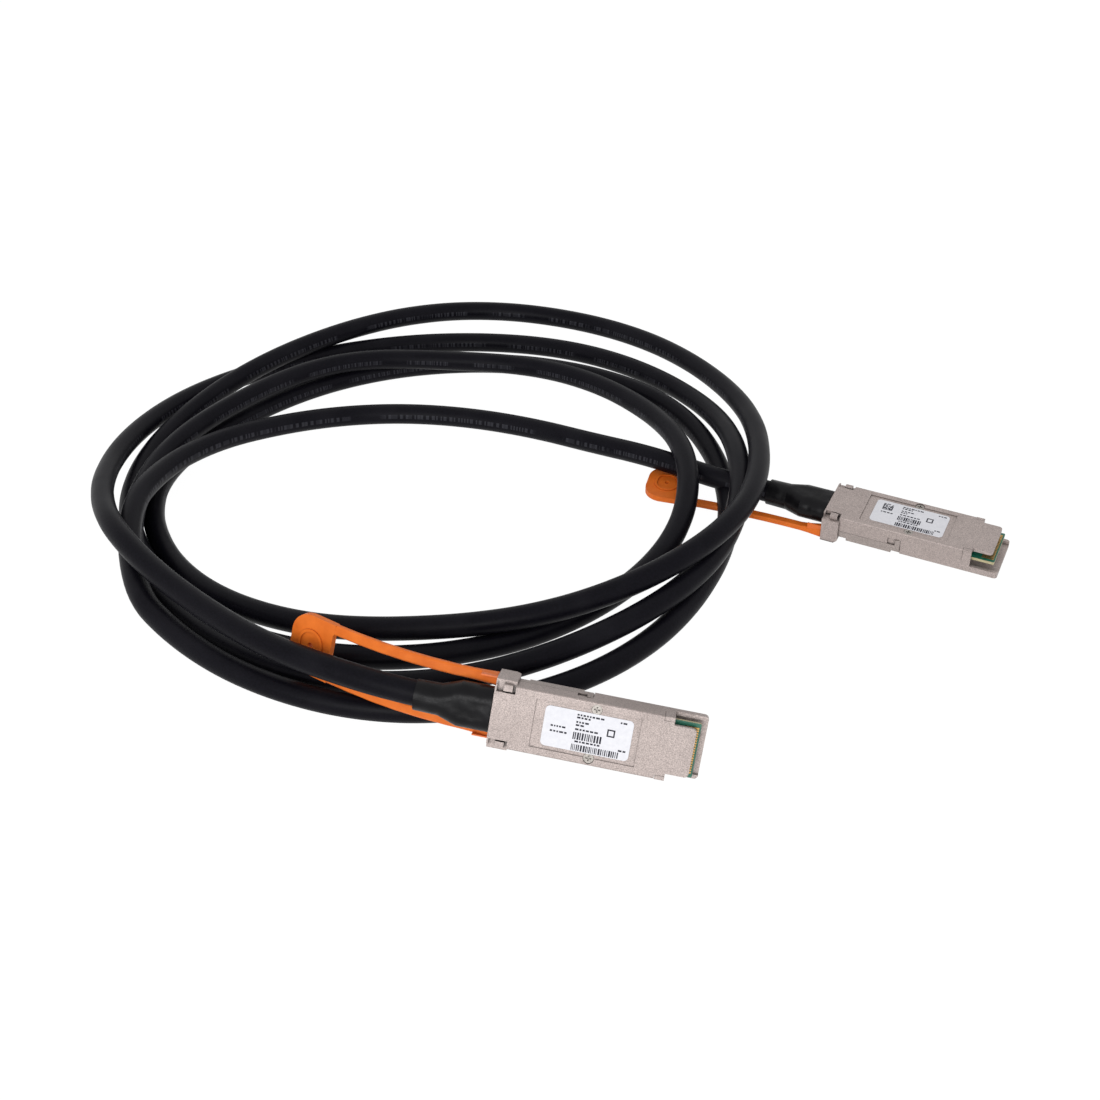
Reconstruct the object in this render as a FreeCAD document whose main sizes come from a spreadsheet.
import FreeCAD, Part
import Sketcher
import math
import os

# Direct attach copper cable: a loosely coiled round cable with one pluggable connector at each end.
# Each connector is modelled in its own frame: X runs from the rear face to the nose, Y to the left,
# Z towards the label. Its origin is on the cable's axis in the rear face. The two connectors are
# placed on the bench at the end, and the cable joins them. All sizes are in millimetres.

Vec = FreeCAD.Vector

doc = FreeCAD.newDocument("direct_attach_cable")
sheet = doc.addObject("Spreadsheet::Sheet", "Sizes")

SIZES = [
    ("plug_length", 59.2), ("plug_width", 18.35), ("plug_height", 8.5),
    ("flange_length", 5.8), ("flange_overhang", 0.93), ("flange_drop", 2.15), ("flange_top", 2.6),
    ("flange_chamfer", 1.2), ("rear_wall", 7.0),
    ("floor_thickness", 1.15), ("wall_thickness", 1.15), ("cover_thickness", 1.2),
    ("fit_gap", 0.1), ("lip_height", 2.3),
    ("shoulder_start", 47.2), ("shoulder_end", 50.0), ("nose_end", 56.3), ("nose_inset", 2.08),
    ("seam_rear", 1.9), ("seam_front", -0.4), ("seam_step", 26.9),
    ("notch_start", 0.5), ("rear_chamfer", 0.8), ("notch_inset", 2.28),
    ("post_start", 2.4), ("post_length", 2.5), ("post_width", 1.8),
    ("edge_round", 0.4), ("corner_round", 1.2),
    ("recess_start", 11.8), ("recess_length", 29.5), ("recess_inset", 2.18), ("recess_depth", 0.3),
    ("label_rear_margin", 2.9), ("label_front_margin", 2.0), ("label_side_margin", 1.15),
    ("label_thickness", 0.12), ("label_corner", 1.3),
    ("screw_position", 28.6), ("screw_head", 2.9), ("screw_shank", 1.1),
    ("head_depth", 0.75), ("screw_length", 4.6),
    ("drive_width", 0.42), ("drive_span", 1.7), ("drive_floor", 0.12),
    ("boss_length", 3.2), ("boss_width", 1.8),
    ("card_rear", 17.0), ("card_front", 57.4), ("card_clearance", 0.12), ("card_thickness", 1.0),
    ("card_underside", 0.2), ("card_bevel", 0.3), ("card_ledge", 1.6),
    ("pad_pitch", 0.72), ("pad_width", 0.46), ("pad_length", 3.9), ("pad_thickness", 0.06),
    ("pad_inset", 0.5), ("pads_across", 19),
    ("chip_start", 34.0), ("chip_length", 3.0), ("chip_width", 4.4), ("chip_height", 0.9),
    ("arm_thickness", 0.4), ("arm_underside", 0.5), ("arm_top", -1.45), ("arm_tail", 5.0),
    ("plate_start", 8.6), ("plate_end", 24.0), ("latch_length", 1.6), ("latch_top", 1.15),
    ("latch_bump", 0.45), ("latch_travel", 2.5), ("lug_width", 3.0), ("lug_drop", 1.5),
    ("spring_diameter", 1.5), ("spring_wire", 0.3), ("spring_pitch", 0.95), ("spring_length", 4.2),
    ("spring_depth", 5.3), ("spring_seat", 1.0),
    ("cable_diameter", 7.5), ("jacket_entry", 2.4), ("cable_straight", 25.0), ("coil_bevel", 2.6),
    ("core_width", 8.4), ("core_height", 5.2),
    ("pair_diameter", 1.25), ("pair_pitch", 1.7), ("pairs_per_row", 4), ("pair_front", 21.0),
    ("ferrule_start", 7.3), ("ferrule_length", 3.4), ("ferrule_wall", 0.35),
    ("ferrule_height", 5.9), ("ferrule_corner", 1.1),
    ("sleeve_length", 22.0), ("sleeve_width", 13.2), ("sleeve_height", 8.3), ("sleeve_wall", 0.65),
    ("sleeve_body", 9.5), ("sleeve_taper", 5.5), ("sleeve_gap", 0.2),
    ("sleeve_flare", 0.4),
    ("tab_length", 65.0), ("tab_overhang", 0.05), ("tab_arm", 3.1), ("tab_thickness", 2.0),
    ("tab_drop", 4.9), ("tab_root", 4.2), ("root_lift", 0.5), ("root_length", 6.5), ("tab_gap", 0.25),
    ("tab_bevel", 0.45), ("paddle_length", 14.0), ("paddle_overlap", 0.4), ("paddle_corner", 6.2),
    ("paddle_hole", 1.6), ("grip_height", 0.45), ("grip_width", 10.0), ("grip_length", 8.4),
    ("grip_rim", 0.8), ("overcut", 1.0),
]
for row, (alias, value) in enumerate(SIZES, start=1):
    sheet.set("A%d" % row, alias)
    sheet.set("B%d" % row, str(value))
    sheet.setAlias("B%d" % row, alias)
doc.recompute()


def size(formula):
    """The value of a formula in the sheet's names, such as 'plug_width / 2'."""
    return float(sheet.evalExpression(formula))


def plane(body, role):
    for feature in body.Origin.OriginFeatures:
        if feature.Role == role:
            return feature


def new_body(name):
    made = doc.addObject("PartDesign::Body", name)
    made.Label = name
    made.AllowCompound = True
    return made


def new_sketch(body, name, role, height=None):
    """A sketch on one of the body's origin planes, lifted along the plane's normal."""
    made = body.newObject("Sketcher::SketchObject", body.Name + "_" + name)
    made.AttachmentSupport = [(plane(body, role), "")]
    made.MapMode = "FlatFace"
    if height is not None:
        made.setExpression("AttachmentOffset.Base.z", height)
    return made


def outline(sketch, corners):
    """A closed outline whose corners are pairs of formulas, each tied to the sketch's origin."""
    points = [Vec(size(across), size(along), 0) for across, along in corners]
    first = sketch.GeometryCount
    count = len(points)
    for index in range(count):
        line = Part.LineSegment(points[index], points[(index + 1) % count])
        sketch.addGeometry(line, False)
    for index in range(count):
        following = first + (index + 1) % count
        sketch.addConstraint(Sketcher.Constraint("Coincident", first + index, 2, following, 1))
    for index, (across, along) in enumerate(corners):
        edge = first + index
        number = sketch.addConstraint(
            Sketcher.Constraint("DistanceX", -1, 1, edge, 1, points[index].x))
        sketch.setExpression("Constraints[%d]" % number, across)
        number = sketch.addConstraint(
            Sketcher.Constraint("DistanceY", -1, 1, edge, 1, points[index].y))
        sketch.setExpression("Constraints[%d]" % number, along)


def rectangle(sketch, left, right, low, high):
    outline(sketch, [(left, low), (right, low), (right, high), (left, high)])


def circle(sketch, across, along, radius):
    centre = Vec(size(across), size(along), 0)
    edge = sketch.addGeometry(Part.Circle(centre, Vec(0, 0, 1), size(radius)), False)
    number = sketch.addConstraint(Sketcher.Constraint("DistanceX", -1, 1, edge, 3, centre.x))
    sketch.setExpression("Constraints[%d]" % number, across)
    number = sketch.addConstraint(Sketcher.Constraint("DistanceY", -1, 1, edge, 3, centre.y))
    sketch.setExpression("Constraints[%d]" % number, along)
    number = sketch.addConstraint(Sketcher.Constraint("Radius", edge, size(radius)))
    sketch.setExpression("Constraints[%d]" % number, radius)


def pad(body, sketch, length, midplane=False):
    made = body.newObject("PartDesign::Pad", sketch.Name + "_pad")
    made.Profile = sketch
    made.setExpression("Length", length)
    made.Midplane = midplane
    sketch.Visibility = False
    return made


def pocket(body, sketch, depth, reverse=False, midplane=False):
    """Cut away; the cut runs against the sketch's normal, or along it when reverse is set."""
    made = body.newObject("PartDesign::Pocket", sketch.Name + "_cut")
    made.Profile = sketch
    made.setExpression("Length", depth)
    made.Reversed = reverse
    made.Midplane = midplane
    doc.recompute()
    before = made.BaseFeature.Shape.Volume
    if made.Shape.Volume > before - 1e-6:
        raise RuntimeError(made.Name + " removed nothing")
    return made


def edges_where(shape, test):
    return ["Edge%d" % (index + 1) for index, edge in enumerate(shape.Edges) if test(edge)]


def round_edges(body, feature, name, radius, test):
    doc.recompute()
    made = body.newObject("PartDesign::Fillet", body.Name + "_" + name)
    made.Base = (feature, edges_where(feature.Shape, test))
    made.setExpression("Radius", radius)
    return made


def runs_along(edge, axis):
    box = edge.BoundBox
    spans = [box.XLength, box.YLength, box.ZLength]
    return spans[axis] > 0.2 and sum(spans) - spans[axis] < 1e-4


HALF_WIDTH = "Sizes.plug_width / 2"
TOP = "Sizes.plug_height / 2"
BOTTOM = "-Sizes.plug_height / 2"
COVER_SEAT = "Sizes.plug_height / 2 - Sizes.cover_thickness"
INNER_HALF = "Sizes.plug_width / 2 - Sizes.wall_thickness"
FLOOR_TOP = "Sizes.floor_thickness - Sizes.plug_height / 2"
LIP_TOP = "Sizes.lip_height - Sizes.plug_height / 2"
FLANGE_WIDTH = "Sizes.plug_width + 2 * Sizes.flange_overhang"
NOSE_HALF = "Sizes.plug_width / 2 - Sizes.nose_inset"
NOTCH_HALF = "Sizes.plug_width / 2 - Sizes.notch_inset"
RECESS_HALF = "Sizes.plug_width / 2 - Sizes.recess_inset"
SCREW_ACROSS = "Sizes.plug_width / 2 - Sizes.wall_thickness - Sizes.boss_width / 2"
CARD_HALF = "Sizes.plug_width / 2 - Sizes.wall_thickness - Sizes.card_clearance"


# ---------------------------------------------------------------- housing
def make_base_shell(name):
    """Die-cast lower half: stepped side walls, open tray at the nose, deep flange at the rear."""
    body = new_body(name)
    side = new_sketch(body, "side", "XZ_Plane")
    outline(side, [
        ("0", BOTTOM), ("Sizes.plug_length", BOTTOM), ("Sizes.plug_length", LIP_TOP),
        ("Sizes.shoulder_end", LIP_TOP), ("Sizes.shoulder_end", TOP),
        ("Sizes.shoulder_start", TOP), ("Sizes.shoulder_start", "Sizes.seam_front"),
        ("Sizes.seam_step", "Sizes.seam_front"), ("Sizes.seam_step", "Sizes.seam_rear"),
        ("0", "Sizes.seam_rear")])
    pad(body, side, "Sizes.plug_width", midplane=True)

    flange = new_sketch(body, "flange", "XZ_Plane")
    outline(flange, [
        ("0", BOTTOM + " - Sizes.flange_drop"),
        ("Sizes.flange_length - Sizes.flange_chamfer", BOTTOM + " - Sizes.flange_drop"),
        ("Sizes.flange_length", BOTTOM + " - Sizes.flange_drop + Sizes.flange_chamfer"),
        ("Sizes.flange_length", "Sizes.flange_top"), ("0", "Sizes.flange_top")])
    pad(body, flange, FLANGE_WIDTH, midplane=True)

    cavity = new_sketch(body, "cavity", "XY_Plane", TOP)
    rectangle(cavity, "Sizes.rear_wall", "Sizes.plug_length + Sizes.overcut",
              "-(" + INNER_HALF + ")", INNER_HALF)
    pocket(body, cavity, "Sizes.plug_height - Sizes.floor_thickness")

    # two pillars that take the cover's screws, and the ledge that carries the card
    bosses = new_sketch(body, "bosses", "XY_Plane", FLOOR_TOP)
    for side_sign in ("", "-"):
        near = side_sign + "(" + INNER_HALF + ")"
        far = side_sign + "(" + INNER_HALF + " - Sizes.boss_width)"
        rectangle(bosses, "Sizes.screw_position - Sizes.boss_length / 2",
                  "Sizes.screw_position + Sizes.boss_length / 2", near, far)
    pad(body, bosses, COVER_SEAT + " - (" + FLOOR_TOP + ")")
    ledge = new_sketch(body, "ledge", "XY_Plane", FLOOR_TOP)
    rectangle(ledge, "Sizes.shoulder_start", "Sizes.shoulder_start + Sizes.card_ledge",
              "-(" + INNER_HALF + ")", INNER_HALF)
    pad(body, ledge, "Sizes.card_underside - (" + FLOOR_TOP + ")")

    posts = new_sketch(body, "posts", "XY_Plane", "Sizes.flange_top")
    for side_sign in ("", "-"):
        rectangle(posts, "Sizes.post_start", "Sizes.post_start + Sizes.post_length",
                  side_sign + "(" + HALF_WIDTH + " - Sizes.post_width)", side_sign + HALF_WIDTH)
    pad(body, posts, TOP + " - Sizes.flange_top")

    # way in for the jacket, and the narrower way through for the wire pairs
    entry = new_sketch(body, "entry", "YZ_Plane")
    circle(entry, "0", "0", "Sizes.cable_diameter / 2")
    pocket(body, entry, "Sizes.jacket_entry", reverse=True)
    core = new_sketch(body, "core", "YZ_Plane")
    rectangle(core, "-Sizes.core_width / 2", "Sizes.core_width / 2",
              "-Sizes.core_height / 2", "Sizes.core_height / 2")
    pocket(body, core, "Sizes.rear_wall", reverse=True)

    # side channels for the latch slider's arms, and the windows for its latch ends
    channel = new_sketch(body, "channel", "YZ_Plane")
    for side_sign in ("", "-"):
        rectangle(channel, side_sign + "(" + HALF_WIDTH + " - Sizes.arm_thickness - Sizes.fit_gap)",
                  side_sign + "(" + HALF_WIDTH + " + Sizes.fit_gap)",
                  BOTTOM + " - Sizes.arm_underside - Sizes.fit_gap",
                  "Sizes.arm_top + Sizes.fit_gap")
    pocket(body, channel, "Sizes.seam_step + Sizes.fit_gap", reverse=True)
    for side_name, turned in (("left", False), ("right", True)):
        level = new_sketch(body, "window_" + side_name, "XZ_Plane")
        rectangle(level, "Sizes.seam_step - Sizes.latch_length - Sizes.latch_travel - 3 * Sizes.fit_gap",
                  "Sizes.seam_step + Sizes.fit_gap", "Sizes.arm_top",
                  "Sizes.latch_top + Sizes.fit_gap")
        offset = HALF_WIDTH + " - Sizes.arm_thickness - Sizes.fit_gap"
        level.setExpression("AttachmentOffset.Base.z", offset if turned else "-(" + offset + ")")
        pocket(body, level, "Sizes.wall_thickness", reverse=turned)

    # seat of the return spring, bored into the flange from the front
    seat = new_sketch(body, "spring_seat", "YZ_Plane", "Sizes.spring_seat")
    circle(seat, "0", "-Sizes.spring_depth", "Sizes.spring_diameter / 2 + Sizes.fit_gap")
    pocket(body, seat, "Sizes.flange_length", reverse=True)

    holes = new_sketch(body, "screw_holes", "XY_Plane", COVER_SEAT)
    for side_sign in ("", "-"):
        circle(holes, "Sizes.screw_position", side_sign + "(" + SCREW_ACROSS + ")",
               "Sizes.screw_shank / 2")
    drilled = pocket(body, holes, "Sizes.screw_length")

    nose_corner = size("plug_length")
    round_edges(body, drilled, "corners", "Sizes.corner_round",
                lambda edge: runs_along(edge, 2) and abs(edge.BoundBox.XMax - nose_corner) < 1e-4
                and abs(edge.BoundBox.YMax) > size("plug_width") / 2 - 1e-3)
    return body


def make_top_cover(name):
    """Die-cast upper half: notched plate, narrower nose, stepped skirts and a label recess."""
    body = new_body(name)
    plate = new_sketch(body, "plate", "XY_Plane", COVER_SEAT)
    notch = NOTCH_HALF
    shoulder = INNER_HALF + " - Sizes.fit_gap"
    nose = NOSE_HALF
    half = [("0", HALF_WIDTH + " - Sizes.rear_chamfer"), ("Sizes.notch_start", HALF_WIDTH),
            ("Sizes.notch_start", notch), ("Sizes.flange_length", notch),
            ("Sizes.flange_length", HALF_WIDTH),
            ("Sizes.shoulder_start - Sizes.fit_gap", HALF_WIDTH),
            ("Sizes.shoulder_start - Sizes.fit_gap", shoulder),
            ("Sizes.shoulder_end", shoulder), ("Sizes.shoulder_end", nose),
            ("Sizes.nose_end", nose)]
    mirrored = [(along, "-(" + across + ")") for along, across in half]
    outline(plate, mirrored + half[::-1])
    pad(body, plate, "Sizes.cover_thickness")

    skirt = new_sketch(body, "skirt", "XZ_Plane")
    outline(skirt, [
        ("Sizes.flange_length", COVER_SEAT), ("Sizes.flange_length", "Sizes.seam_rear"),
        ("Sizes.seam_step", "Sizes.seam_rear"), ("Sizes.seam_step", "Sizes.seam_front"),
        ("Sizes.shoulder_start - Sizes.fit_gap", "Sizes.seam_front"),
        ("Sizes.shoulder_start - Sizes.fit_gap", COVER_SEAT)])
    pad(body, skirt, "Sizes.plug_width", midplane=True)
    hollow = new_sketch(body, "hollow", "XY_Plane", "Sizes.seam_front - Sizes.overcut")
    rectangle(hollow, "Sizes.rear_wall", "Sizes.shoulder_start", "-(" + INNER_HALF + ")", INNER_HALF)
    pocket(body, hollow, COVER_SEAT + " - Sizes.seam_front + Sizes.overcut", reverse=True)

    entry = new_sketch(body, "entry", "YZ_Plane")
    circle(entry, "0", "0", "Sizes.cable_diameter / 2")
    pocket(body, entry, "Sizes.jacket_entry", reverse=True)
    core = new_sketch(body, "core", "YZ_Plane")
    rectangle(core, "-Sizes.core_width / 2", "Sizes.core_width / 2",
              "-Sizes.core_height / 2", "Sizes.core_height / 2")
    pocket(body, core, "Sizes.rear_wall", reverse=True)

    recess = new_sketch(body, "recess", "XY_Plane", TOP)
    rectangle(recess, "Sizes.recess_start", "Sizes.recess_start + Sizes.recess_length",
              "-(" + RECESS_HALF + ")", RECESS_HALF)
    pocket(body, recess, "Sizes.recess_depth")
    heads = new_sketch(body, "screw_heads", "XY_Plane", TOP)
    shanks = new_sketch(body, "screw_shanks", "XY_Plane", TOP)
    for side_sign in ("", "-"):
        circle(heads, "Sizes.screw_position", side_sign + "(" + SCREW_ACROSS + ")",
               "Sizes.screw_head / 2 + Sizes.fit_gap")
        circle(shanks, "Sizes.screw_position", side_sign + "(" + SCREW_ACROSS + ")",
               "Sizes.screw_shank / 2 + Sizes.fit_gap")
    pocket(body, heads, "Sizes.head_depth")
    drilled = pocket(body, shanks, "Sizes.cover_thickness + Sizes.overcut")

    nose_x = size("nose_end")
    corners = round_edges(
        body, drilled, "nose_corners", "Sizes.corner_round",
        lambda edge: runs_along(edge, 2) and abs(edge.BoundBox.XMax - nose_x) < 1e-4)
    top = size("plug_height / 2")
    half_width = size("plug_width / 2")
    round_edges(body, corners, "long_edges", "Sizes.edge_round",
                lambda edge: runs_along(edge, 0) and edge.BoundBox.XLength > size("plug_length / 3")
                and abs(edge.BoundBox.ZMax - top) < 1e-4
                and abs(abs(edge.BoundBox.YMax) - half_width) < 1e-4)
    return body


def make_cover_screws(name):
    """The two identical screws that hold the cover, in one node."""
    screws = []
    for number, side_sign in enumerate(("", "-")):
        tag = "%s_%d" % (name, number)
        head = doc.addObject("Part::Cylinder", tag + "_head")
        head.setExpression("Radius", "Sizes.screw_head / 2")
        head.setExpression("Height", "Sizes.head_depth - Sizes.recess_depth")
        shank = doc.addObject("Part::Cylinder", tag + "_shank")
        shank.setExpression("Radius", "Sizes.screw_shank / 2")
        shank.setExpression("Height", "Sizes.screw_length")
        for piece in (head, shank):
            piece.setExpression("Placement.Base.x", "Sizes.screw_position")
            piece.setExpression("Placement.Base.y", side_sign + "(" + SCREW_ACROSS + ")")
        head.setExpression("Placement.Base.z", TOP + " - Sizes.head_depth")
        shank.setExpression("Placement.Base.z", TOP + " - Sizes.head_depth - Sizes.screw_length")
        blank = doc.addObject("Part::Fuse", tag + "_blank")
        blank.Base = head
        blank.Tool = shank
        slots = []
        for turn, (length, width) in enumerate((("drive_span", "drive_width"),
                                                ("drive_width", "drive_span"))):
            slot = doc.addObject("Part::Box", "%s_slot_%d" % (tag, turn))
            slot.setExpression("Length", "Sizes." + length)
            slot.setExpression("Width", "Sizes." + width)
            slot.setExpression("Height", "Sizes.head_depth")
            slot.setExpression("Placement.Base.x",
                               "Sizes.screw_position - Sizes.%s / 2" % length)
            slot.setExpression("Placement.Base.y",
                               side_sign + "(" + SCREW_ACROSS + ") - Sizes.%s / 2" % width)
            slot.setExpression("Placement.Base.z", TOP + " - Sizes.head_depth + Sizes.drive_floor")
            slots.append(slot)
        drive = doc.addObject("Part::MultiFuse", tag + "_drive")
        drive.Shapes = slots
        screw = doc.addObject("Part::Cut", tag)
        screw.Base = blank
        screw.Tool = drive
        screws.append(screw)
    pair = doc.addObject("Part::Compound", name)
    pair.Label = name
    pair.Links = screws
    return pair


def make_label(name):
    """Blank paper label with rounded corners, stuck into the cover's recess."""
    sheet_box = doc.addObject("Part::Box", name + "_sheet")
    half = RECESS_HALF + " - Sizes.label_side_margin"
    sheet_box.setExpression(
        "Length", "Sizes.recess_length - Sizes.label_rear_margin - Sizes.label_front_margin")
    sheet_box.setExpression("Width", "2 * (" + half + ")")
    sheet_box.setExpression("Height", "Sizes.label_thickness")
    sheet_box.setExpression("Placement.Base.x", "Sizes.recess_start + Sizes.label_rear_margin")
    sheet_box.setExpression("Placement.Base.y", "-(" + half + ")")
    sheet_box.setExpression("Placement.Base.z", TOP + " - Sizes.recess_depth")
    doc.recompute()
    made = doc.addObject("Part::Fillet", name)
    made.Label = name
    made.Base = sheet_box
    radius = size("label_corner")
    made.Edges = [(index + 1, radius, radius) for index, edge in enumerate(sheet_box.Shape.Edges)
                  if edge.BoundBox.ZLength > 0.01]
    return made


# ---------------------------------------------------------------- electronics
def make_paddle_card(name):
    """Circuit card that ends in the edge contacts at the nose."""
    body = new_body(name)
    plan = new_sketch(body, "plan", "XY_Plane", "Sizes.card_underside")
    half = CARD_HALF
    outline(plan, [
        ("Sizes.card_rear", "-(" + half + ")"),
        ("Sizes.card_front - Sizes.card_bevel", "-(" + half + ")"),
        ("Sizes.card_front", "-(" + half + ") + Sizes.card_bevel"),
        ("Sizes.card_front", half + " - Sizes.card_bevel"),
        ("Sizes.card_front - Sizes.card_bevel", half), ("Sizes.card_rear", half)])
    pad(body, plan, "Sizes.card_thickness")
    clear = new_sketch(body, "boss_clearance", "XY_Plane", "Sizes.card_underside")
    for side_sign in ("", "-"):
        rectangle(clear, "Sizes.screw_position - Sizes.boss_length / 2 - Sizes.fit_gap",
                  "Sizes.screw_position + Sizes.boss_length / 2 + Sizes.fit_gap",
                  side_sign + "(" + INNER_HALF + " - Sizes.boss_width - Sizes.fit_gap)",
                  side_sign + "(" + half + " + Sizes.overcut)")
    pocket(body, clear, "Sizes.card_thickness", reverse=True)
    return body


def make_contact_pads(name):
    """Gold edge contacts, one row on each face of the card, as one node."""
    body = new_body(name)
    faces = (("top", "Sizes.card_underside + Sizes.card_thickness"),
             ("under", "Sizes.card_underside - Sizes.pad_thickness"))
    for face, level in faces:
        plan = new_sketch(body, face, "XY_Plane", level)
        first = "-(Sizes.pads_across - 1) / 2 * Sizes.pad_pitch"
        rectangle(plan, "Sizes.card_front - Sizes.pad_inset - Sizes.pad_length",
                  "Sizes.card_front - Sizes.pad_inset", first + " - Sizes.pad_width / 2",
                  first + " + Sizes.pad_width / 2")
        first_pad = pad(body, plan, "Sizes.pad_thickness")
        row_of_pads = body.newObject("PartDesign::LinearPattern", plan.Name + "_row")
        row_of_pads.Originals = [first_pad]
        row_of_pads.Direction = (plane(body, "Y_Axis"), [""])
        row_of_pads.setExpression("Length", "(Sizes.pads_across - 1) * Sizes.pad_pitch")
        row_of_pads.setExpression("Occurrences", "Sizes.pads_across")
        body.Tip = row_of_pads
        doc.recompute()
    return body


def make_memory_chip(name):
    """Small memory chip on the card, which tells the host what the cable is."""
    body = new_body(name)
    plan = new_sketch(body, "plan", "XY_Plane", "Sizes.card_underside + Sizes.card_thickness")
    rectangle(plan, "Sizes.chip_start", "Sizes.chip_start + Sizes.chip_length",
              "-Sizes.chip_width / 2", "Sizes.chip_width / 2")
    pad(body, plan, "Sizes.chip_height")
    return body


def make_wire_pairs(name):
    """Two rows of shielded wire pairs that land on the card's rear edge, above and below it."""
    body = new_body(name)
    rows = (("upper", "Sizes.card_underside + Sizes.card_thickness + Sizes.pair_diameter / 2"),
            ("lower", "Sizes.card_underside - Sizes.pair_diameter / 2"))
    for row_name, level in rows:
        section = new_sketch(body, row_name, "YZ_Plane", "Sizes.jacket_entry")
        circle(section, "-(Sizes.pairs_per_row - 1) / 2 * Sizes.pair_pitch", level,
               "Sizes.pair_diameter / 2")
        first = pad(body, section, "Sizes.pair_front - Sizes.jacket_entry")
        row_of_pairs = body.newObject("PartDesign::LinearPattern", section.Name + "_row")
        row_of_pairs.Originals = [first]
        row_of_pairs.Direction = (plane(body, "Y_Axis"), [""])
        row_of_pairs.setExpression("Length", "(Sizes.pairs_per_row - 1) * Sizes.pair_pitch")
        row_of_pairs.setExpression("Occurrences", "Sizes.pairs_per_row")
        body.Tip = row_of_pairs
        doc.recompute()
    return body


def make_crimp_ferrule(name):
    """Oval metal band crimped around the wire pairs just inside the housing."""
    body = new_body(name)
    band = new_sketch(body, "band", "YZ_Plane", "Sizes.ferrule_start")
    rectangle(band, "-Sizes.core_width / 2", "Sizes.core_width / 2",
              "-Sizes.ferrule_height / 2", "Sizes.ferrule_height / 2")
    rectangle(band, "-Sizes.core_width / 2 + Sizes.ferrule_wall",
              "Sizes.core_width / 2 - Sizes.ferrule_wall",
              "-Sizes.ferrule_height / 2 + Sizes.ferrule_wall",
              "Sizes.ferrule_height / 2 - Sizes.ferrule_wall")
    solid = pad(body, band, "Sizes.ferrule_length")
    outer = size("core_width / 2")
    round_edges(body, solid, "corners", "Sizes.ferrule_corner",
                lambda edge: runs_along(edge, 0) and abs(abs(edge.BoundBox.YMax) - outer) < 1e-3)
    return body


# ---------------------------------------------------------------- latch
def make_latch_slider(name):
    """Stamped steel slider: a plate under the housing, two side arms and their latch ends."""
    body = new_body(name)
    arm_low = BOTTOM + " - Sizes.arm_underside"
    side = new_sketch(body, "side", "XZ_Plane")
    tip = "Sizes.seam_step - Sizes.fit_gap"
    outline(side, [
        ("-Sizes.arm_tail", BOTTOM + " + Sizes.arm_underside"),
        ("Sizes.plate_start", BOTTOM + " + Sizes.arm_underside"), ("Sizes.plate_start", arm_low),
        ("Sizes.plate_end", arm_low), ("Sizes.plate_end", BOTTOM + " + Sizes.arm_underside"),
        (tip, BOTTOM + " + Sizes.arm_underside"), (tip, "Sizes.latch_top"),
        (tip + " - Sizes.latch_length", "Sizes.latch_top"),
        (tip + " - Sizes.latch_length", "Sizes.arm_top"), ("-Sizes.arm_tail", "Sizes.arm_top")])
    pad(body, side, "2 * (" + HALF_WIDTH + ")", midplane=True)
    inner = "(" + HALF_WIDTH + " - Sizes.arm_thickness)"
    middle = new_sketch(body, "middle", "XY_Plane", BOTTOM + " - Sizes.fit_gap")
    rectangle(middle, "-Sizes.arm_tail - Sizes.overcut", tip + " + Sizes.overcut",
              "-" + inner, inner)
    pocket(body, middle, "Sizes.plug_height", reverse=True)

    # latch ends stand a little proud of the housing's sides, ramped towards the nose
    for side_name, side_sign in (("left", ""), ("right", "-")):
        bump = new_sketch(body, "bump_" + side_name, "XY_Plane", "Sizes.arm_top")
        outline(bump, [
            (tip + " - Sizes.latch_length", side_sign + HALF_WIDTH),
            (tip, side_sign + HALF_WIDTH),
            (tip + " - Sizes.latch_length", side_sign + "(" + HALF_WIDTH + " + Sizes.latch_bump)")])
        pad(body, bump, "Sizes.latch_top - Sizes.arm_top")

    # lug that the return spring pushes on
    lug = new_sketch(body, "lug", "XY_Plane", arm_low + " - Sizes.lug_drop")
    rectangle(lug, "Sizes.plate_start", "Sizes.plate_start + Sizes.arm_thickness",
              "-Sizes.lug_width / 2", "Sizes.lug_width / 2")
    pad(body, lug, "Sizes.lug_drop + Sizes.arm_underside")
    return body


def make_return_spring(name):
    """Compression spring between the flange and the slider's lug, shown pressed short.

    Its wire has a six-sided section, because the spring is small and never seen.
    """
    coil = doc.addObject("Part::Helix", name + "_line")
    coil.setExpression("Radius", "Sizes.spring_diameter / 2 - Sizes.spring_wire / 2")
    coil.setExpression("Pitch", "Sizes.spring_pitch")
    coil.setExpression("Height", "Sizes.spring_length")
    doc.recompute()
    radius = size("spring_diameter / 2 - spring_wire / 2")
    corners = []
    for number in range(6):
        aim = math.radians(60 * number)
        reach = size("spring_wire / 2")
        corners.append(Vec(radius + reach * math.cos(aim), 0, reach * math.sin(aim)))
    profile = Part.makePolygon(corners + corners[:1])
    made = doc.addObject("Part::Feature", name)
    made.Label = name
    sweep = coil.Shape.Wires[0].makePipeShell([profile], True, True)
    sweep.rotate(Vec(0, 0, 0), Vec(0, 1, 0), 90)
    sweep.translate(Vec(size("spring_seat + spring_wire / 2"), 0, -size("spring_depth")))
    made.Shape = sweep
    return made


ARM_STATIONS = (0, 1, 2, 3, 5, 8, 11, 14, 17, 20)    # closer together where the root flares


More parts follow.
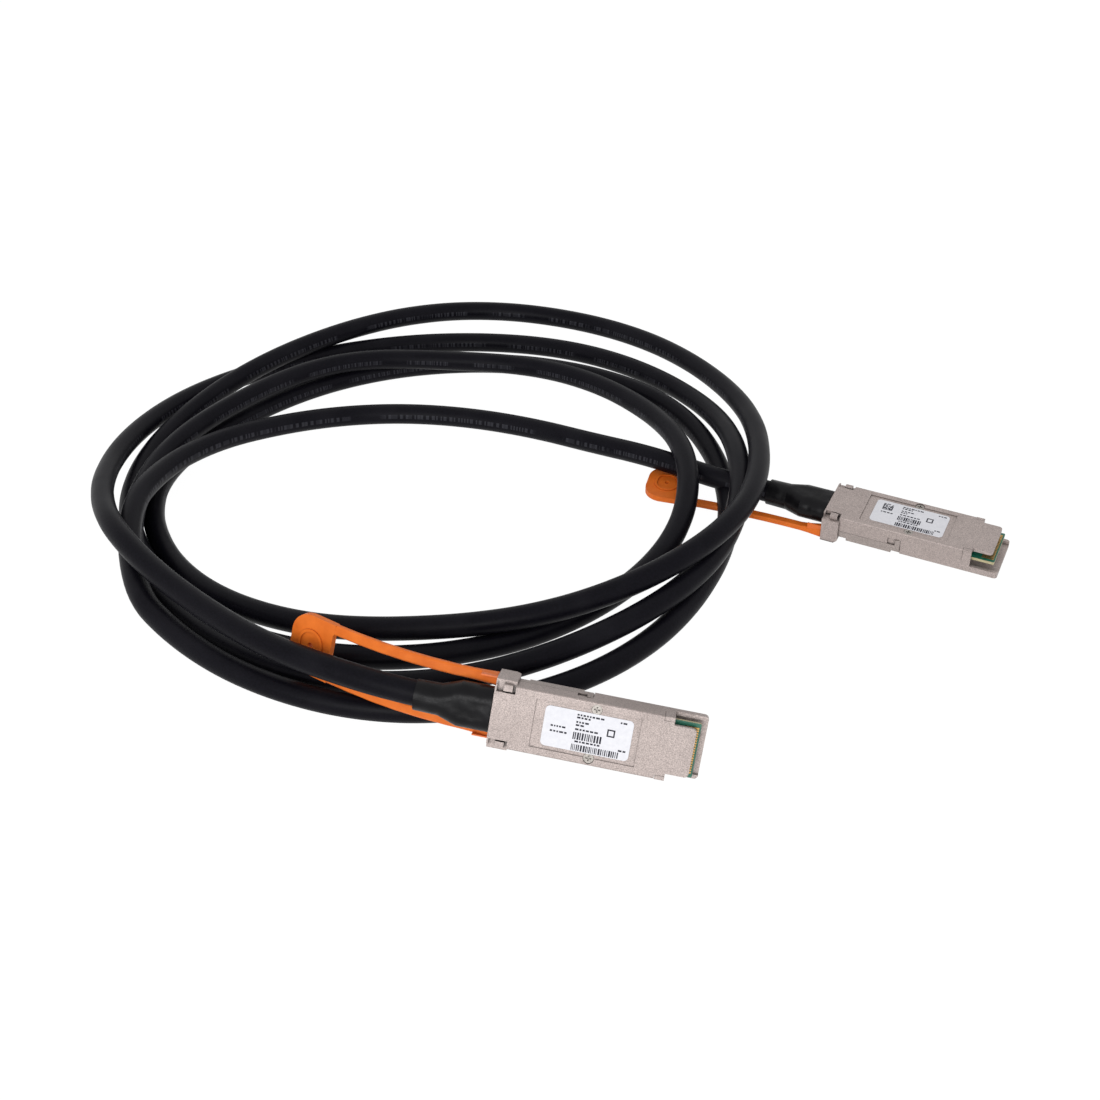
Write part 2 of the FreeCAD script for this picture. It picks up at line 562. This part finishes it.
def strap_frames(bend_down, bend_side, twist, steps):
    """Positions and directions along the pull tab's middle, from the housing to its paddle.

    The strap leaves the plug straight and bends evenly: down (away from the label), to one side,
    and about its own length. Angles are the totals in degrees over the arms' length.
    """
    frames = []
    length = size("tab_length - paddle_length")
    position = Vec(-size("tab_gap"), 0, -size("tab_drop"))
    for step in range(steps + 1):
        share = step / steps
        down = math.radians(bend_down * share)
        side = math.radians(bend_side * share)
        along = Vec(-math.cos(down) * math.cos(side), math.sin(side),
                    -math.sin(down) * math.cos(side))
        across = Vec(0, 1, 0) - along * along.y
        across.normalize()
        turn = FreeCAD.Rotation(along, -twist * share)
        across = turn.multVec(across)
        up = across.cross(along)
        frames.append((Vec(position), along, across, up))
        position = position + along * (length / steps)
    return frames


def framed(shape, frame):
    """Move a shape drawn with X along, Y across and Z up into a frame of the strap."""
    position, along, across, up = frame
    matrix = FreeCAD.Matrix(along.x, across.x, up.x, position.x,
                            along.y, across.y, up.y, position.y,
                            along.z, across.z, up.z, position.z, 0, 0, 0, 1)
    return shape.transformGeometry(matrix)


def strap_section(frame, centre, lift, width, height):
    """Bevelled rectangle square to the strap, for the arms' lofts."""
    position, along, across, up = frame
    bevel = size("tab_bevel")
    corners = [(width / 2 - bevel, -height / 2), (width / 2, bevel - height / 2),
               (width / 2, height / 2 - bevel), (width / 2 - bevel, height / 2),
               (bevel - width / 2, height / 2), (-width / 2, height / 2 - bevel),
               (-width / 2, bevel - height / 2), (bevel - width / 2, -height / 2)]
    points = [position + across * (centre + aside) + up * (lift + above)
              for aside, above in corners]
    return Part.makePolygon(points + points[:1])


def make_pull_tab(name, slider, bend_down, bend_side, twist):
    """Moulded pull tab: two arms from the latch slider and a rounded paddle with a raised oval."""
    frames = strap_frames(bend_down, bend_side, twist, ARM_STATIONS[-1])
    arm = size("tab_arm")
    middle = size("plug_width / 2 + tab_overhang - tab_arm / 2")
    arms = []
    for side_sign in (1, -1):
        wires = []
        for station in ARM_STATIONS:
            travelled = station / ARM_STATIONS[-1] * size("tab_length - paddle_length")
            flare = max(0.0, 1 - travelled / size("root_length"))
            height = size("tab_thickness") + size("tab_root - tab_thickness") * flare
            lift = size("root_lift") * flare
            wires.append(strap_section(frames[station], side_sign * middle, lift, arm, height))
        arms.append(Part.makeLoft(wires, True, True))
    flat = make_paddle(middle)
    tab = framed(flat, frames[-1]).multiFuse(arms)
    tab = tab.cut(slider.Shape).removeSplitter()
    made = doc.addObject("Part::Feature", name)
    made.Label = name
    made.Shape = tab
    return made


def make_paddle(middle):
    """The paddle, drawn flat from X = 0 outwards, with stubs that run back into the arms."""
    thickness = size("tab_thickness")
    length = size("paddle_length")
    half = size("plug_width / 2 + tab_overhang")
    corner = size("paddle_corner")
    arm = size("tab_arm")
    turned = corner * math.sqrt(0.5)
    upper_left = Vec(length - corner, half, 0)
    upper_end = Vec(length, half - corner, 0)
    lower_end = Vec(length, corner - half, 0)
    lower_left = Vec(length - corner, -half, 0)
    upper_middle = Vec(length - corner + turned, half - corner + turned, 0)
    lower_middle = Vec(length - corner + turned, corner - half - turned, 0)
    edges = [
        Part.LineSegment(Vec(0, half, 0), upper_left),
        Part.Arc(upper_left, upper_middle, upper_end),
        Part.LineSegment(upper_end, lower_end),
        Part.Arc(lower_end, lower_middle, lower_left),
        Part.LineSegment(lower_left, Vec(0, -half, 0)),
        Part.LineSegment(Vec(0, -half, 0), Vec(0, half, 0)),
    ]
    face = Part.Face(Part.Wire([edge.toShape() for edge in edges]))
    plate = face.extrude(Vec(0, 0, thickness))
    plate.translate(Vec(0, 0, -thickness / 2))
    stub = size("paddle_overlap")
    stubs = [Part.makeBox(2 * stub, arm, thickness,
                          Vec(-stub, sign * middle - arm / 2, -thickness / 2))
             for sign in (1, -1)]
    grip_centre = Vec(length / 2, 0, thickness / 2)
    hole = Part.makeCylinder(size("paddle_hole") / 2, 3 * thickness,
                             grip_centre - Vec(0, 0, 2 * thickness))
    return plate.multiFuse(stubs + [oval_ring(grip_centre)]).cut(hole)


def oval_ring(centre):
    """Raised ring with round ends; its long way is across the strap."""
    height = size("grip_height")
    reach = size("(grip_width - grip_length) / 2")
    solids = []
    for shrink in (0, size("grip_rim")):
        radius = size("grip_length / 2") - shrink
        block = Part.makeBox(2 * radius, 2 * reach, height, centre + Vec(-radius, -reach, 0))
        ends = [Part.makeCylinder(radius, height, centre + Vec(0, sign * reach, 0))
                for sign in (1, -1)]
        solids.append(block.multiFuse(ends))
    return solids[0].cut(solids[1])


# ---------------------------------------------------------------- cable
ARC_SHARE = 0.45    # the share of the shorter run that a corner's arc takes up


def make_shrink_sleeve(name):
    """Heat-shrunk sleeve: flat and wide against the housing, then drawn down on to the jacket."""
    body_length = size("sleeve_body")
    taper = size("sleeve_taper")
    full = size("sleeve_length")
    tail = size("cable_diameter + 2 * sleeve_wall")
    wires = []
    for back, width, height in ((size("sleeve_gap"), size("sleeve_width"), size("sleeve_height")),
                                (body_length, size("sleeve_width"), size("sleeve_height")),
                                (body_length + taper, tail + size("sleeve_flare"), tail),
                                (full, tail, tail)):
        corner = min(width, height) / 2 - 0.01
        wires.append(rounded_section(-back, width, height, corner))
    skin = Part.makeLoft(wires, True, True)
    over = size("overcut")
    bore = Part.makeCylinder(size("cable_diameter / 2"), full + 2 * over, Vec(over, 0, 0),
                             Vec(-1, 0, 0))
    made = doc.addObject("Part::Feature", name)
    made.Label = name
    made.Shape = skin.cut(bore)
    return made


def rounded_section(x_place, width, height, corner):
    """Rounded rectangle square to X."""
    flat_y = width / 2 - corner
    flat_z = height / 2 - corner
    slant = corner * math.sqrt(0.5)
    edges = []
    quarters = ((1, 1), (-1, 1), (-1, -1), (1, -1))
    arcs = []
    for sign_y, sign_z in quarters:
        side = Vec(x_place, sign_y * width / 2, sign_z * flat_z)
        ridge = Vec(x_place, sign_y * flat_y, sign_z * height / 2)
        middle = Vec(x_place, sign_y * (flat_y + slant), sign_z * (flat_z + slant))
        ends = (side, ridge) if sign_y * sign_z > 0 else (ridge, side)
        arcs.append((ends[0], middle, ends[1]))
    for index, (begin, middle, end) in enumerate(arcs):
        edges.append(Part.Arc(begin, middle, end).toShape())
        edges.append(Part.LineSegment(end, arcs[(index + 1) % 4][0]).toShape())
    return Part.Wire(edges)


def tube(name, points):
    """Round tube along straight runs joined by tangent arcs, each arc as large as its runs allow."""
    radius = size("cable_diameter / 2")
    edges = []
    here = points[0]
    radii = []
    total = 0.0
    for before, corner, after in zip(points, points[1:], points[2:]):
        incoming = corner - before
        outgoing = after - corner
        shorter = min(incoming.Length, outgoing.Length)
        incoming.normalize()
        outgoing.normalize()
        turn = incoming.getAngle(outgoing)
        setback = ARC_SHARE * shorter
        bend = setback / math.tan(turn / 2)
        radii.append(bend)
        start = corner - incoming * setback
        finish = corner + outgoing * setback
        inward = outgoing - incoming
        inward.normalize()
        hub = corner + inward * (bend / math.cos(turn / 2))
        middle = hub - inward * bend
        edges.append(Part.LineSegment(here, start).toShape())
        edges.append(Part.Arc(start, middle, finish).toShape())
        total += (start - here).Length + bend * turn
        here = finish
    edges.append(Part.LineSegment(here, points[-1]).toShape())
    total += (points[-1] - here).Length
    path = Part.Wire(edges)
    ring = Part.Circle(points[0], points[1] - points[0], radius).toShape()
    solid = path.makePipeShell([Part.Wire([ring])], True, False)
    expected = math.pi * radius * radius * total
    print("%s: %.1f mm long, radii %s, volume %.4f of section times length"
          % (name, total, [round(bend) for bend in radii], solid.Volume / expected))
    made = doc.addObject("Part::Feature", name)
    made.Label = name
    made.Shape = solid
    return made


def make_coil(name, centre, stations):
    """Outer shape of the loosely wound turns: a closed ring of bevelled sections.

    Each station is an angle about the coil's centre, the inner and outer radius there, and the
    heights of the underside and the top.
    """
    wires = []
    for angle, inner, outer, under, top in stations:
        aim = math.radians(angle)
        bevel = min(size("coil_bevel"), (top - under) / 3)
        corners = [(inner, under + bevel), (inner + bevel, under), (outer - bevel, under),
                   (outer, under + bevel), (outer, top - bevel), (outer - bevel, top),
                   (inner + bevel, top), (inner, top - bevel)]
        points = [centre + Vec(math.cos(aim) * radius, math.sin(aim) * radius, height)
                  for radius, height in corners]
        wires.append(Part.makePolygon(points + points[:1]))
    made = doc.addObject("Part::Feature", name)
    made.Label = name
    made.Shape = Part.makeLoft(wires, True, True, True)
    return made


# ---------------------------------------------------------------- how it lies on the bench
PLUGS = {
    "a": {"place": Vec(-52.9, -64.1, 16.35), "yaw": -10.0, "pitch": 5.9, "roll": 66.0,
          "tab": (20.0, 6.0, 5.0)},
    "b": {"place": Vec(58.8, 47.8, 7.3), "yaw": -26.0, "pitch": 0.0, "roll": 5.0,
          "tab": (-2.0, -11.0, -4.0)},
}
COIL_CENTRE = Vec(-76.4, 67.3, 0)
COIL_STATIONS = [
    (0, 83, 117, 13.0, 20.6), (15, 83, 123, 4.5, 15.5), (30, 84, 129, 0.2, 12.0),
    (45, 84, 134, 0.1, 9.8), (60, 81, 135, 0.1, 11.0), (75, 78, 135, 0.1, 12.5),
    (90, 77, 130, 0.1, 14.0), (105, 77, 119, 0.1, 15.4), (120, 81, 111, 0.1, 15.4),
    (135, 81, 116, 0.1, 15.4), (150, 84, 121, 0.1, 15.4), (165, 88, 121, 0.1, 15.4),
    (180, 92, 119, 0.1, 15.4), (195, 94, 112, 0.1, 15.0), (210, 92, 114, 0.1, 15.0),
    (225, 88, 118, 0.1, 13.0), (240, 84, 119, 0.1, 9.3), (255, 79, 120, 0.1, 7.8),
    (270, 77, 121, 0.1, 8.2), (285, 83, 119, 0.1, 15.4), (300, 85, 116, 0.1, 15.4),
    (315, 85, 112, 0.1, 16.0), (330, 83, 111, 0.1, 22.6), (345, 84, 114, 4.0, 23.4),
]
LEAD_A_ROUTE = [(-102.8, -50.1, 20.5), (-121.5, -38.9, 19.8), (-141, -22.7, 19.5),
                (-159.6, -6.1, 21.5), (-176, 16, 24.3), (-187, 41, 19.5), (-190.9, 66, 13.0)]
LEAD_B_ROUTE = [(21, 64.5, 8.3), (10, 70.5, 9.0), (-4, 79.5, 8.6), (-21.5, 91.5, 5.8),
                (-43, 104.5, 4.1), (-66.7, 112.3, 3.9), (-90.8, 115.6, 3.9),
                (-114.4, 112.2, 5.0), (-136.4, 101.3, 7.8), (-157, 85, 11.2),
                (-170.7, 60, 15.6), (-176, 31, 18.2), (-169, 5, 14.5)]


def plug_placement(plug):
    turn = FreeCAD.Rotation(plug["yaw"], plug["pitch"], plug["roll"])
    return FreeCAD.Placement(plug["place"], turn)


nodes = []
for letter, plug in PLUGS.items():
    slider = make_latch_slider("latch_slider_" + letter)
    doc.recompute()
    pieces = [
        make_base_shell("base_shell_" + letter),
        make_top_cover("top_cover_" + letter),
        make_cover_screws("cover_screws_" + letter),
        make_label("label_" + letter),
        make_paddle_card("paddle_card_" + letter),
        make_contact_pads("contact_pads_" + letter),
        make_memory_chip("memory_chip_" + letter),
        make_wire_pairs("wire_pairs_" + letter),
        make_crimp_ferrule("crimp_ferrule_" + letter),
        slider,
        make_return_spring("return_spring_" + letter),
        make_pull_tab("pull_tab_" + letter, slider, *plug["tab"]),
        make_shrink_sleeve("shrink_sleeve_" + letter),
    ]
    doc.recompute()
    for piece in pieces:
        piece.Placement = plug_placement(plug).multiply(piece.Placement)
        nodes.append(piece)

coil = make_coil("cable_coil", COIL_CENTRE, COIL_STATIONS)
for letter, route in (("a", LEAD_A_ROUTE), ("b", LEAD_B_ROUTE)):
    place = plug_placement(PLUGS[letter])
    start = place.multVec(Vec(size("jacket_entry"), 0, 0))
    beyond = place.multVec(Vec(-size("cable_straight"), 0, 0))
    free = [Vec(*point) for point in route]
    nodes.append(tube("cable_lead_" + letter, [start, beyond] + free))
nodes.append(coil)
doc.recompute()

# ---------------------------------------------------------------- checks and export
for thing in doc.Objects:
    if "Invalid" in thing.State or "Error" in thing.State:
        raise RuntimeError("%s failed: %s" % (thing.Name, thing.State))
os.makedirs("parts", exist_ok=True)
for node in nodes:
    shape = node.Shape
    if shape.isNull() or not shape.isValid() or not shape.Solids:
        raise RuntimeError(node.Label + " has no valid solid")
    shape.exportStep("parts/%s.step" % node.Label)
print("%d nodes" % len(nodes))
